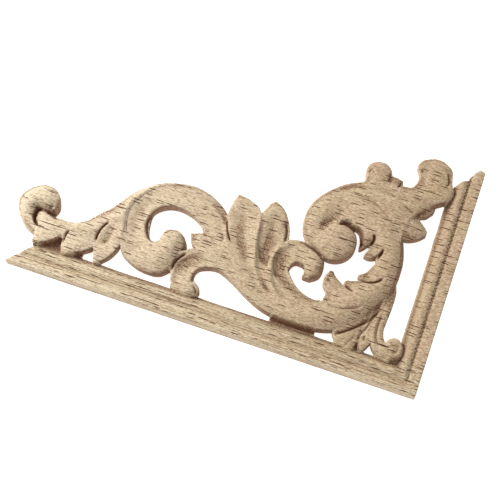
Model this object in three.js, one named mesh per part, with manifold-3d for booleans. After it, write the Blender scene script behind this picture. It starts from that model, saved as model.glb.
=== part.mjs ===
// Carved wooden onlay for the corner of a cabinet door: a long and a short moulded rail meet at
// a mitred right angle, and a pierced scroll with leaves fills the space between them.
// One board, carved in one piece, with a flat back. Millimetres, lying on its back, +Z up.
import * as THREE from "three";
import Module from "manifold-3d";

// Rails. Their outer edges meet at the corner, which is the drawing's zero point:
// the long rail runs to -X from there and the short rail to +Y.
const longRail = 220;
const shortRail = 128.5;
const railWidth = 15;
const sideHeight = 5.2; // upright outer side of both rails
const bandHeight = 6; // flat band along the outer side, which leans a little inward
const bandWidth = 6.1;
const bandInnerHeight = 5.1;
const channelWidth = 0.9;
const channelHeight = 4.3;
const beadHeight = 6.1; // rounded bead next to the channel
const beadWidth = 4.3;
const beadSide = 5.3;
const innerEdgeHeight = 1.2; // the bead's long slope ends here, at the rail's inner edge
const beadSteps = 5;
const outerTipRound = 4.2; // how far the band's end swells past the mitre on the short rail
const innerTipRound = 2;
const longTipRound = 1;

// Carving.
const edgeDrop = 1.1; // how far the rounded edge of a stroke lies below its face
const acrossFace = [0, 0.16, 0.5, 0.84, 1]; // where a stroke's face is measured across its width
const stepsPerRow = 2;
const domeSides = 20;
const domeRings = 4;
const domeWall = 0.5; // share of a dome's height that is upright

// Carved strokes. A stroke is a band between two edge lines, drawn from row to row.
// Each row: x and y on the first edge, x and y on the second edge,
// then the face's height at the first edge, in the middle and at the second edge.
const strokes = {
  // Curl at the far left: it leaves the stem low on the right, goes round the left and ends in an eye.
  curl: [
    [-203, 19, -204, 28.5, 4, 6, 6],
    [-210.5, 18.5, -210.5, 27, 4, 6, 5],
    [-217, 21, -214.5, 28, 3.5, 6, 5],
    [-222, 25.5, -216.5, 30.5, 5, 7, 6],
    [-225.5, 31.5, -216.5, 32.5, 5, 8, 7],
    [-225.5, 37, -215.5, 34, 5, 8.5, 8],
    [-221.5, 42.5, -214.5, 35, 5, 9, 8.5],
    [-215.5, 46, -213.5, 35.5, 5, 9, 9],
    [-209.5, 45, -212.5, 35.5, 5, 9, 9],
    [-205.5, 40.5, -211.5, 35, 5, 8, 9],
    [-204, 35.5, -210.5, 34.5, 5, 7, 8],
    [-205.5, 31.5, -210.5, 33.5, 4, 6, 7],
  ],
  // Stem from the curl to the big C scroll; it thins out along the outside of the scroll.
  stem: [
    [-212.5, 32.5, -214, 29.5, 4, 5, 4],
    [-208, 32, -213, 26, 5, 7, 5],
    [-201, 30.5, -205, 22, 5, 8, 6],
    [-194, 31, -197, 21, 5, 8.5, 6],
    [-188, 34.5, -188, 22, 5, 8.5, 6.5],
    [-183.5, 40, -181, 24, 5, 8, 7],
    [-179, 45, -174, 28, 5, 7.5, 7],
    [-174.5, 51.5, -170.5, 36, 5, 7.5, 6.5],
    [-170, 58, -168.5, 46, 5, 7.5, 6],
    [-163.5, 63.5, -165, 55, 5, 7, 6],
    [-157, 67.5, -159, 62, 5, 6, 6],
  ],
  // First leaf lobe under the stem, standing on the long rail.
  leftLeafOne: [
    [-206, 27, -195, 29, 6.5, 7, 7],
    [-211, 22.5, -197, 24.5, 6, 6.8, 6.5],
    [-211, 18, -198.5, 21, 5.8, 6.5, 6.2],
    [-211, 15, -202, 17.5, 5.8, 6.2, 6],
    [-210, 12.5, -207, 14.5, 5, 5.6, 5],
  ],
  // Second leaf lobe.
  leftLeafTwo: [
    [-193, 30, -181, 33.5, 7.2, 7.8, 7.5],
    [-196, 24.5, -180.5, 27, 6.8, 7.6, 7.2],
    [-196, 19, -179.5, 21.5, 6.4, 7.2, 6.6],
    [-195, 15.5, -184, 17.5, 6, 6.8, 6],
    [-193.5, 13, -189, 14.5, 5.4, 6, 5.2],
  ],
  // Third leaf lobe, a spindle with a hollow back.
  leftLeafThree: [
    [-176.5, 39, -171, 41.5, 7.5, 7.5, 7.5],
    [-179.5, 33.5, -168.5, 36.5, 7.5, 5.5, 7.5],
    [-180.5, 28, -167.5, 30, 7, 4.5, 7],
    [-180, 23, -167.5, 25.5, 6, 5, 6],
    [-178.5, 18, -170, 19.5, 6, 5.6, 6],
    [-177, 13.5, -174.5, 14.5, 5, 5, 5],
  ],
  // Big C scroll: from under the central leaf over the top, down the left, round to its bulb.
  cScroll: [
    [-110, 44.5, -119.5, 37.5, 3, 4, 3],
    [-116, 53.5, -127.5, 45.5, 5, 6, 5],
    [-121, 62.5, -131.5, 51.5, 4.5, 6, 5.5],
    [-129.5, 68.5, -137.5, 55, 4.5, 6, 6],
    [-140, 71.5, -144.5, 56.5, 4.5, 6, 6.5],
    [-151, 70, -150.5, 55.5, 5, 6.2, 6.8],
    [-161, 65, -155, 52.5, 6.5, 5.8, 7],
    [-167, 56.5, -157, 49.5, 7, 5.2, 7],
    [-170, 47.5, -157, 45, 7, 5, 7.2],
    [-170, 38.5, -156, 40, 7, 5.2, 7.2],
    [-168.5, 30, -154.5, 36.5, 7, 5.4, 7.4],
    [-164.5, 23.5, -153, 35, 6, 6.2, 7.4],
    [-157.5, 19.5, -151, 34.5, 5, 7.2, 7.4],
    [-150, 18, -149.5, 35.5, 5, 8.2, 7],
    [-142.5, 19, -148.5, 38, 5, 9, 7],
    [-138, 24, -148.5, 40.5, 5, 9.5, 6.5],
    [-136, 32, -147, 43, 5, 9.5, 6],
    [-134.5, 37.5, -145, 44, 5, 9, 5.5],
    [-137, 42, -142, 44.5, 5, 7, 5],
  ],
  // Short pointed leaf inside the mouth of the C scroll.
  spur: [
    [-135.5, 46, -136, 47, 3, 3, 3],
    [-132, 47, -134, 42.5, 4, 5, 4],
    [-128.5, 48, -131, 39, 5, 6.5, 5],
    [-123, 49.5, -124.5, 37.5, 6, 7.5, 6],
  ],
  // Hook scroll that comes down on the long rail.
  hook: [
    [-112, 41.5, -111.5, 31, 4, 4, 4],
    [-120, 40, -117.5, 31, 7, 7, 5.5],
    [-128, 38.5, -121, 30, 7, 6, 6],
    [-133.5, 36, -124, 28.5, 7, 5, 6.5],
    [-137, 32, -125.5, 26, 7, 4.8, 7],
    [-139, 26.5, -125.5, 23, 6.5, 5, 7],
    [-137, 20, -124, 20.5, 6, 6, 7],
    [-134.5, 14.5, -122, 19.5, 5.5, 7, 6],
    [-129.5, 12.5, -120.5, 18, 5, 7, 5],
    [-124.5, 12, -120, 16, 4, 5, 4],
  ],
  // Lower stem and the big acanthus ring: along the bottom, up the right side, into the hub.
  lowerStem: [
    [-124.5, 33, -127, 43, 3, 4, 4],
    [-120, 31, -121.5, 46.5, 6.5, 7, 6.5],
    [-114.5, 31, -115, 46, 6.8, 7.4, 7.5],
    [-105.5, 27, -104, 45, 6.8, 7.8, 7.5],
    [-96.5, 22, -92, 40, 6.6, 8.1, 7.2],
    [-86.5, 18, -80, 33, 6.4, 8.4, 6.8],
    [-75.5, 16.5, -71, 30.5, 6.2, 8.6, 6.4],
    [-64, 16.5, -62, 31.5, 6, 8.8, 6.4],
    [-54, 18, -57, 34.5, 5.6, 9, 6.6],
    [-46, 21.5, -52, 40, 5, 9.6, 6.5],
    [-39.5, 27.5, -48, 44, 5, 9.6, 6.5],
    [-33.5, 36, -44.5, 47.5, 5, 9.5, 6.5],
    [-28, 46, -40, 52, 5, 9.3, 6.5],
    [-26, 56.5, -40, 58.5, 5, 9, 6.5],
    [-26.5, 67.5, -40.5, 65, 5, 8.7, 6.5],
    [-30, 78.5, -45, 74, 5, 8.5, 6.8],
    [-34, 86, -50, 80, 6, 8.5, 7.5],
    [-42, 98, -56, 90, 4, 5, 4],
  ],
  // Central leaf, left half.
  leafLeft: [
    [-119, 75.5, -118, 75, 3.5, 3.5, 3.5],
    [-120, 70.5, -111.5, 73.5, 5, 5.5, 4.5],
    [-120.5, 64.5, -106, 70.5, 6, 6, 5.5],
    [-120, 58.5, -104, 67, 6.5, 6, 7],
    [-119, 52.5, -102.5, 59, 7, 6, 8],
    [-116, 45, -100, 50, 7.5, 6.5, 8.5],
    [-108, 37.5, -96, 41, 8, 7, 8.8],
    [-96, 29.5, -89.5, 33.5, 8, 8, 8.8],
    [-85, 24, -80, 28, 4, 5, 4],
  ],
  // Central leaf, right half.
  leafRight: [
    [-101.5, 75.5, -99, 78, 3.5, 4, 3.5],
    [-103, 71.5, -94, 75, 4.5, 5.5, 4.5],
    [-104, 67, -90, 70, 6, 6, 4.5],
    [-104, 60.5, -87, 63.5, 7.5, 5.8, 5],
    [-102, 51.5, -86.5, 58, 8.3, 5.5, 6],
    [-98.5, 43, -89.5, 49.5, 8.8, 6, 8],
    [-92.5, 35.5, -89.5, 42, 9, 6.5, 8.5],
    [-85, 29, -84.5, 34.5, 9, 7.5, 8.8],
    [-76, 25, -75.5, 29, 4, 5, 4],
  ],
  // Hook scroll right of the central leaf.
  hookTwo: [
    [-60, 22.5, -60, 32.5, 4, 4, 4],
    [-70, 24, -67.5, 32.5, 8.3, 7.5, 6],
    [-79, 27.5, -73.5, 35, 8.5, 6.5, 6.5],
    [-86, 33.5, -78, 39, 8.5, 5.8, 7],
    [-90.5, 41.5, -80.5, 42.5, 8.3, 5.3, 7],
    [-91.5, 49.5, -80.5, 45.5, 7.8, 5.2, 7],
    [-88, 57, -78.5, 48, 6.5, 5.8, 7],
    [-81, 60.5, -76, 48, 5, 6.5, 7],
    [-74, 60, -74, 47.5, 5, 7.3, 7],
    [-68, 57.5, -73, 45, 5, 8, 6.5],
    [-64.5, 52, -73, 43.5, 5, 8.3, 6],
    [-65, 45, -73.5, 42, 5, 7.5, 5],
    [-69, 41.5, -72.5, 41.5, 4, 6, 4],
  ],
  // Five teeth of the acanthus ring, from the tall one at the bottom left upwards.
  toothOne: [
    [-60.5, 50.5, -59, 50.5, 4, 4, 4],
    [-62.1, 46.5, -56.6, 47.6, 5, 5.5, 4.5],
    [-62, 42, -53, 45, 5.5, 7, 5.5],
    [-59, 37.6, -49.5, 42, 6, 7.5, 7],
    [-59.5, 33, -45, 38, 6, 8.5, 8.3],
    [-56, 27, -42, 33, 4, 5, 5],
  ],
  toothTwo: [
    [-52, 47, -51, 48, 4, 4, 4],
    [-52, 45, -47.5, 48.5, 4.5, 6, 5],
    [-50, 41, -43.5, 49.5, 6, 7.5, 6],
    [-46, 38, -38, 48, 8, 8.5, 8],
    [-40, 34, -33, 44, 4, 5, 5],
  ],
  toothThree: [
    [-46.5, 51.5, -46.5, 52.5, 4.5, 4.5, 4.5],
    [-43.5, 50, -43, 55, 6, 6.5, 5],
    [-40, 49.5, -40.5, 59.5, 7.5, 7.5, 6],
    [-35.5, 50.5, -37, 63.5, 7.5, 8, 7.5],
    [-31, 52, -33, 67, 4, 5, 4],
  ],
  toothFour: [
    [-47, 63.4, -46.9, 63.7, 4.5, 4.5, 4.5],
    [-44.5, 62.9, -45.8, 66.6, 5.2, 5.6, 4.8],
    [-42, 63.4, -45.2, 68.6, 6.2, 6.6, 5.2],
    [-40, 65, -45.5, 71, 7, 7, 5.5],
    [-38, 69, -44, 76, 7.8, 7.8, 7.5],
    [-35, 75, -41, 82, 4, 5, 4],
  ],
  toothFive: [
    [-50.5, 66, -49.5, 66, 4.5, 4.5, 4.5],
    [-51, 71, -47, 69, 6, 6.5, 5],
    [-53, 75, -45.5, 73, 7, 7, 6],
    [-57.5, 77.5, -44.5, 78, 7.5, 7.5, 7.5],
    [-60, 83, -43, 84, 4, 5, 4],
  ],
  // Big scroll at the upper right, from the hub round to its ball.
  bigScroll: [
    [-24, 97.5, -27, 84, 4, 5, 4],
    [-36, 104, -40, 80, 7, 8.8, 7.5],
    [-46, 105.5, -48, 79.5, 6, 8.8, 7.5],
    [-57, 103.5, -56, 79, 5, 8.5, 7.5],
    [-66.5, 99.5, -61.5, 78.5, 5, 8, 7.5],
    [-74.5, 92.5, -65.5, 77, 5, 8, 6.5],
    [-80.5, 84, -68, 74.5, 5, 7.5, 5.5],
    [-82.5, 75, -69, 71, 5, 7.3, 5.5],
    [-81, 66.5, -68, 67.5, 5, 7.5, 6.5],
    [-76, 60, -66.5, 64.5, 5, 8, 8],
    [-70.5, 57, -64.5, 63.5, 5, 8, 9],
    [-65, 55.5, -63, 63, 5, 7.5, 9],
  ],
  // Hub where the ring, the scroll and the upper leaves meet.
  hub: [
    [-47, 70, -30, 68, 4, 5, 4],
    [-53, 80, -31, 77, 7.5, 8.3, 7],
    [-56, 88, -31, 86, 8, 8.5, 7.5],
    [-52, 98, -28, 95, 7.5, 8.3, 7.5],
    [-45, 104, -24, 101, 6, 8, 7.3],
    [-38, 108, -20, 108, 4, 5, 4],
  ],
  // Upper leaf with its round end; its right edge grows into the short rail.
  topLeaf: [
    [-54, 90.5, -34, 84, 4, 5, 4],
    [-47, 97.5, -27, 94, 7, 8.5, 7.5],
    [-41, 104, -20.5, 101.5, 6, 8, 7],
    [-35, 107.5, -14, 107, 5, 8, 6.5],
    [-32.5, 112.5, -12.5, 112.5, 5, 7.5, 6.5],
    [-33, 117.5, -14.5, 116, 5, 7, 5.5],
    [-35, 121.5, -15.5, 120, 5, 6.5, 5],
    [-33, 126, -17, 125, 3.5, 6, 4.5],
    [-27.5, 129, -22, 128.5, 3, 4, 3.5],
  ],
  // Two side leaves that point at the short rail.
  sideLeafOne: [
    [-52, 103, -52, 90, 4, 5, 4],
    [-42, 105, -42, 92, 7, 8.3, 8],
    [-32, 105, -34, 93.5, 6.5, 7.5, 7],
    [-25, 104.5, -28, 94.5, 6, 6.8, 5.5],
    [-21, 103.5, -23, 94.5, 5, 6, 4.5],
    [-19, 101, -19.5, 98.5, 4, 4.5, 4],
  ],
  sideLeafTwo: [
    [-53, 93, -48, 80, 4, 5, 4],
    [-44, 93, -40, 80, 8, 8.5, 8],
    [-35, 91.5, -34, 79.5, 7, 7.5, 6.5],
    [-27.5, 92, -28.5, 79, 6, 6.8, 5],
    [-23, 90, -23, 81.5, 5, 6, 4.5],
    [-19.5, 87, -19.5, 85, 4, 4.5, 4],
  ],
  // Neck of the round bud.
  budNeck: [
    [-63, 90.5, -46, 90, 4, 5, 4],
    [-64, 97.5, -45, 97, 6, 8.3, 8],
    [-59, 104, -46.5, 104.5, 5, 7.5, 6.5],
    [-60, 110, -47.5, 110, 5, 6.5, 5.5],
  ],
  // Small bump between the bud and the upper leaf.
  bump: [
    [-48, 92.5, -40, 92, 4, 5, 4],
    [-47.5, 101.5, -39, 101, 7, 8, 7],
    [-47, 107, -39, 106.5, 5, 6.5, 5],
    [-46, 111.5, -39.5, 110.5, 4, 4.5, 4],
  ],
  // Fan of two lobes under the ring.
  fanOne: [
    [-45, 34.5, -33, 42, 3, 3, 3],
    [-44.5, 26, -33.5, 33, 4, 5.5, 4.5],
    [-49.5, 19.5, -35, 25, 4.5, 6, 4.5],
    [-48, 16.5, -36, 19.5, 4.5, 5.8, 4.5],
    [-46, 14, -37.5, 13, 4, 4.5, 4],
  ],
  fanTwo: [
    [-34, 42, -29.5, 45, 3, 3, 3],
    [-34, 34, -29.5, 36.5, 4, 5, 4.5],
    [-35, 27, -30, 28.5, 4.5, 5.5, 4.5],
    [-35.5, 20, -29.5, 20, 4.5, 5.5, 4.5],
    [-34.5, 15, -32, 14.5, 4, 4.5, 4],
  ],
  // Small volute in the corner, hanging from the right side of the ring.
  smallVolute: [
    [-31, 62, -28.5, 58.5, 3, 4, 3],
    [-29, 52, -25, 50.5, 4, 4.5, 4],
    [-30, 42, -24.5, 42.5, 5, 5.5, 4.5],
    [-31, 33, -25, 33.5, 5.5, 6, 5],
    [-30.5, 24, -25, 27.5, 6, 6, 5],
    [-28.5, 18, -23, 22.5, 5.5, 6.5, 6],
    [-23.5, 14, -20.5, 21, 5, 7, 7],
    [-18, 12.5, -18, 20, 5, 7, 8],
  ],
};

// Balls and buds: centre x and y, half width along x and y, height.
const domes = {
  curlDisc: [-212.8, 39, 7.6, 6.3, 9],
  bigBall: [-63, 66, 11, 11, 9.8],
  bud: [-53.1, 110.3, 7, 6.8, 7],
  smallBall: [-17.6, 20.3, 4.9, 5.7, 7.4],
};

// Low grounds that close the dark pockets: x from, x to, y from, y to, height.
const grounds = [
  [-208, -184, 12, 22, 2],
  [-82, -58, 12, 20, 2],
  [-47, -33, 12, 22, 2],
  [-25, -12, 12, 18, 2],
  [-217, -207, 26, 34, 3],
  [-65, -55.5, 72, 79, 4],
];

const wasm = await Module();
wasm.setup();

// A closed skin over stations. Each station is a ring of points that starts and ends on the back;
// neighbouring stations are joined, and fill gives the triangles that close the first and last.
function loft(stations, fill) {
  const n = stations[0].length;
  const points = stations.flat();
  const triangles = [];
  for (let i = 0; i + 1 < stations.length; i++) {
    for (let j = 0; j < n; j++) {
      const a = i * n + j;
      const b = i * n + ((j + 1) % n);
      triangles.push([a, b, b + n], [a, b + n, a + n]);
    }
  }
  const last = (stations.length - 1) * n;
  for (const [a, b, c] of fill(stations[0])) {
    triangles.push([c, b, a]);
  }
  for (const [a, b, c] of fill(stations.at(-1))) {
    triangles.push([last + a, last + b, last + c]);
  }
  return solid(points, triangles);
}

// A fan from the first foot of a ring, for sections with no deep hollow.
function fan(ring) {
  return ring.slice(2).map((_, i) => [0, i + 1, i + 2]);
}

// Triangles for a section with hollows, each turning the same way round as the ring.
function fillHollow(ring) {
  const [x0, y0] = ring[0];
  const flat = ring.map(([x, y, z]) => new THREE.Vector2(Math.hypot(x - x0, y - y0), z));
  const turn = Math.sign(THREE.ShapeUtils.area(flat));
  return THREE.ShapeUtils.triangulateShape(flat.slice(), []).map(([a, b, c]) => {
    const same = Math.sign(THREE.ShapeUtils.area([flat[a], flat[b], flat[c]])) === turn;
    return same ? [a, b, c] : [a, c, b];
  });
}

function solid(points, triangles) {
  const build = (faces) =>
    new wasm.Manifold(
      new wasm.Mesh({
        numProp: 3,
        vertProperties: new Float32Array(points.flat()),
        triVerts: new Uint32Array(faces.flat()),
      })
    );
  const first = build(triangles);
  return first.volume() > 0 ? first : build(triangles.map(([a, b, c]) => [a, c, b]));
}

// Rail section: distance in from the outer edge, and height.
function railSection() {
  const bead = bandWidth + channelWidth;
  const section = [
    [0, 0],
    [0, sideHeight],
    [0.6, bandHeight],
    [0.6 * bandWidth, bandHeight - 0.3],
    [bandWidth, bandInnerHeight],
    [bandWidth + 0.3, channelHeight],
    [bead - 0.2, channelHeight],
  ];
  for (let i = 0; i <= beadSteps; i++) {
    const share = i / beadSteps;
    const rise = Math.sin(Math.PI * 0.8 * share);
    section.push([bead + beadWidth * share, beadSide + (beadHeight - beadSide) * rise]);
  }
  section.push([0.5 * (bead + beadWidth + railWidth), 0.5 * (beadSide + innerEdgeHeight) + 0.4]);
  section.push([railWidth, innerEdgeHeight], [railWidth, 0]);
  return section;
}

// The short rail ends in two rounded noses, one for the band and one for the bead.
function tipSwell(t) {
  const split = bandWidth + channelWidth + 0.4;
  const inner = railWidth - split;
  return t < split
    ? outerTipRound * Math.sin((Math.PI * t) / (split + 1))
    : innerTipRound * Math.sin((Math.PI * (t - split + 1)) / (inner + 2));
}

function rails() {
  const section = railSection();
  return loft([
    section.map(([t, z]) => [t - longRail - longTipRound * Math.sin((Math.PI * t) / (2 * railWidth)), t, z]),
    section.map(([t, z]) => [-t, t, z]),
    section.map(([t, z]) => [-t, shortRail - t + tipSwell(t), z]),
  ], fillHollow);
}

// Height across a stroke: a curve through its three heights, turned down at both edges.
function faceHeight(first, middle, second, v) {
  const curve = first * (1 - v) * (1 - 2 * v) + middle * 4 * v * (1 - v) + second * v * (2 * v - 1);
  return v === 0 || v === 1 ? Math.max(curve - edgeDrop, 1.5) : curve;
}

function stroke(rows) {
  const line = (pick) => new THREE.CatmullRomCurve3(rows.map(pick), false, "centripetal");
  const firstEdge = line((r) => new THREE.Vector3(r[0], r[1], 0));
  const secondEdge = line((r) => new THREE.Vector3(r[2], r[3], 0));
  const count = (rows.length - 1) * stepsPerRow;
  const stations = [];
  for (let i = 0; i <= count; i++) {
    const u = i / count;
    const a = firstEdge.getPoint(u);
    const b = secondEdge.getPoint(u);
    const row = Math.min(Math.floor(u * (rows.length - 1)), rows.length - 2);
    const share = u * (rows.length - 1) - row;
    const [h1, h2, h3] = [4, 5, 6].map((k) => THREE.MathUtils.lerp(rows[row][k], rows[row + 1][k], share));
    const ring = [[a.x, a.y, 0]];
    for (const v of acrossFace) {
      ring.push([
        THREE.MathUtils.lerp(a.x, b.x, v),
        THREE.MathUtils.lerp(a.y, b.y, v),
        faceHeight(h1, h2, h3, v),
      ]);
    }
    ring.push([b.x, b.y, 0]);
    stations.push(ring);
  }
  return loft(stations, fan);
}

function dome([x, y, halfX, halfY, height]) {
  const points = [[x, y, 0]];
  const triangles = [];
  const ring = (scale, z) => {
    for (let i = 0; i < domeSides; i++) {
      const turn = (2 * Math.PI * i) / domeSides;
      points.push([x + halfX * scale * Math.cos(turn), y + halfY * scale * Math.sin(turn), z]);
    }
  };
  ring(1, 0);
  for (let k = 0; k < domeRings; k++) {
    const lean = (k / domeRings) * (Math.PI / 2);
    ring(Math.cos(lean), height * (domeWall + (1 - domeWall) * Math.sin(lean)));
  }
  const top = points.push([x, y, height]) - 1;
  for (let i = 0; i < domeSides; i++) {
    const j = (i + 1) % domeSides;
    triangles.push([0, 1 + j, 1 + i]);
    for (let k = 0; k < domeRings; k++) {
      const low = 1 + k * domeSides;
      const high = low + domeSides;
      triangles.push([low + i, low + j, high + j], [low + i, high + j, high + i]);
    }
    const last = 1 + domeRings * domeSides;
    triangles.push([last + i, last + j, top]);
  }
  return solid(points, triangles);
}

function ground([x0, x1, y0, y1, height]) {
  const ring = (x) => [[x, y0, 0], [x, y0, height], [x, y1, height], [x, y1, 0]];
  return loft([ring(x0), ring(x1)], fan);
}

let carving = rails();
for (const part of [
  ...Object.values(strokes).map(stroke),
  ...Object.values(domes).map(dome),
  ...grounds.map(ground),
]) {
  carving = carving.add(part);
}

const { vertProperties, triVerts } = carving.getMesh();
const geometry = new THREE.BufferGeometry();
geometry.setAttribute("position", new THREE.BufferAttribute(vertProperties, 3));
geometry.setIndex(new THREE.BufferAttribute(triVerts, 1));
geometry.computeBoundingBox();
const middle = geometry.boundingBox.getCenter(new THREE.Vector3());
geometry.translate(-middle.x, -middle.y, 0);
geometry.computeVertexNormals();

const wood = new THREE.MeshStandardMaterial({ color: 0xc9b08c, roughness: 0.75, metalness: 0 });
const onlay = new THREE.Mesh(geometry, wood);
onlay.name = "corner_onlay";

const group = new THREE.Group();
group.add(onlay);
export default group;
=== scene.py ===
import math

import bpy
import numpy as np
from mathutils import Matrix, Vector
from mathutils.geometry import tessellate_polygon


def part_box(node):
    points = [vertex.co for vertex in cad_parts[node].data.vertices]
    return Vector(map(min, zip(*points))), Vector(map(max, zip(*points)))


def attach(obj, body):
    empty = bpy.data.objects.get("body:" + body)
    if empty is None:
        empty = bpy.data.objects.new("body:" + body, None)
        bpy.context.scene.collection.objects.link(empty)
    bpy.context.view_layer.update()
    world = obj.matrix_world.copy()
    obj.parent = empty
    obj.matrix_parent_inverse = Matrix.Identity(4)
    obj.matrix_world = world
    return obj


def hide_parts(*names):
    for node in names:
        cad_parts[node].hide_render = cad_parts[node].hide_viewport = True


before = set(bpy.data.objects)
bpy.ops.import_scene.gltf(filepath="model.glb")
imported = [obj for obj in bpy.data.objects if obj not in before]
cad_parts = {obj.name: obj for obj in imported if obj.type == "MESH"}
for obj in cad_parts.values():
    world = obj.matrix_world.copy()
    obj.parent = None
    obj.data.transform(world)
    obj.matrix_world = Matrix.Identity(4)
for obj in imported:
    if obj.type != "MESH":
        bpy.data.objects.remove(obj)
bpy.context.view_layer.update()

# The board: one piece of pale, open-pored hardwood, flat on its back because it is glued on a door or
# drawer. Everything is carved from it. Sizes are in millimetres from the outer corner of the rails,
# where the long rail runs to negative x and the short rail to positive y.
MM = 0.001
low, high = (Vector(point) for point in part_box("corner_onlay"))
corner = Vector((high.x, low.y, 0.0))

# The two rails: a moulding run along both straight sides with a shaped cutter and mitred at the corner.
# It has a broad flat band, a narrow channel, and a bead that slopes down to the inner edge. The long
# rail ends in a slanted tip, the short one in two rounded noses.
long_rail = 220.0
short_rail = 128.5
rail_width = 15.0
band_width = 6.1
band_height = 6.0
band_inner_height = 5.1
channel_width = 0.9
long_channel_height = 4.8
short_channel_height = 4.7
bead_width = 4.3
bead_height = 6.1
bead_side = 5.3
inner_edge_height = 1.2
long_tip_round = 1.0
outer_tip_round = 4.2
inner_tip_round = 2.0

# The carved face is a grid of points, closer together across the rails, where the moulding is fine.
point_spacing = 0.42
across_rail = np.array(
    [0, 0.2, 0.5, 0.9, 1.4, 2, 2.7, 3.4, 4.1, 4.8, 5.4, 5.9, 6.1, 6.3, 6.6, 7, 7.4, 7.6, 7.9, 8.3, 8.8,
     9.4, 10, 10.6, 11.1, 11.6, 11.9, 12.4, 13, 13.6, 14.2, 14.7, 15]
)
lines_x = np.concatenate([np.arange(-226.8, -rail_width - 0.2, point_spacing), -across_rail[::-1], [0.4]])
lines_y = np.concatenate([[-0.4], across_rail, np.arange(rail_width + point_spacing, 131, point_spacing)])
grid_x, grid_y = np.meshgrid(lines_x, lines_y)

# Height where a form isn't, and how far each form is kept past its outline so that neighbours join.
no_wood = -50.0
overlap = 0.6


def near(x0, x1, y0, y1, margin):
    """The part of the grid that lies in a box, as a pair of slices."""
    i0, i1 = np.searchsorted(lines_x, (x0 - margin, x1 + margin))
    j0, j1 = np.searchsorted(lines_y, (y0 - margin, y1 + margin))
    return slice(j0, j1), slice(i0, i1)


def distance_inside(outline):
    """How far each point is from a closed outline: negative inside it."""
    a = np.asarray(outline, float)
    b = np.roll(a, -1, axis=0)
    field = np.full(grid_x.shape, 9.0)
    box = near(a[:, 0].min(), a[:, 0].max(), a[:, 1].min(), a[:, 1].max(), 3.0)
    x, y = grid_x[box].ravel(), grid_y[box].ravel()
    best = np.full(x.shape, 81.0)
    turns = np.zeros(x.shape, int)
    for (ax, ay), (bx, by) in zip(a, b):
        ex, ey = bx - ax, by - ay
        length = ex * ex + ey * ey
        if length < 1e-12:
            continue
        t = np.clip(((x - ax) * ex + (y - ay) * ey) / length, 0, 1)
        best = np.minimum(best, (x - ax - t * ex) ** 2 + (y - ay - t * ey) ** 2)
        side = ex * (y - ay) - ey * (x - ax)
        turns += (ay <= y) & (by > y) & (side > 0)
        turns -= (ay > y) & (by <= y) & (side < 0)
    distance = np.sqrt(best)
    field[box] = np.where(turns != 0, -distance, distance).reshape(grid_x[box].shape)
    return field


def rail_height(t, channel_bottom):
    """The moulding's height at a distance t in from the outer edge.

    The band leans inward and is rounded at its inner edge, the channel's wall curves up to the bead,
    and the bead is most of a half round that runs out in a long slope.
    """
    bead_start = band_width + channel_width
    slope_start = bead_start + 0.6 * bead_width
    lean = np.clip(t / band_width, 0, 1)
    inner_round = 0.6 * np.clip(6 * lean - 5, 0, 1) ** 2
    band = band_height + (band_inner_height - band_height) * lean**2 - inner_round
    into_channel = np.clip((t - band_width) / channel_width, 0, 1)
    channel = channel_bottom + (bead_side - channel_bottom) * into_channel**2
    round_top = np.sin(math.pi * 0.8 * np.clip((t - bead_start) / bead_width, 0, 1) ** 0.8)
    slope = np.clip((t - slope_start) / (rail_width - slope_start), 0, 1) ** 1.5
    bead = bead_side + (bead_height - bead_side) * round_top
    bead = bead - (bead_side + 0.8 - inner_edge_height) * slope
    height = np.where(t < band_width, band, channel)
    return np.where(t > bead_start, bead, height)


def tip_swell(t):
    """How far the short rail's two noses, of the band and of the bead, stand out past its slanted end."""
    split = band_width + channel_width + 0.4
    outer = outer_tip_round * np.sin(math.pi * t / (split + 1))
    inner = inner_tip_round * np.sin(math.pi * (t - split + 1) / (rail_width - split + 2))
    return np.where(t < split, outer, inner)


# The outline goes from the left tip round the outer corner to the top tip and back inside.
across = np.linspace(0, rail_width, 31)
left_swell = long_tip_round * np.sin(math.pi * across / (2 * rail_width))
left_end = np.stack([across - long_rail - left_swell, across], axis=1)
top_end = np.stack([-across, short_rail - across + tip_swell(across)], axis=1)
rails_outline = np.vstack([left_end[::-1], [[0, 0]], top_end, [[-rail_width, rail_width]]])
rail_edge = distance_inside(rails_outline)

on_short_rail = grid_y > -grid_x
channel_floor = np.where(on_short_rail, short_channel_height, long_channel_height)
rails = rail_height(np.clip(np.minimum(-grid_x, grid_y), 0, rail_width), channel_floor)
rails = np.where(rail_edge < overlap, rails, no_wood)

# The scrolls, stems and leaves: rococo work cut with gouges from the same board. Each is a stroke, a
# band between two edges that swells or is hollowed along its way, and runs into its neighbours.

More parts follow.
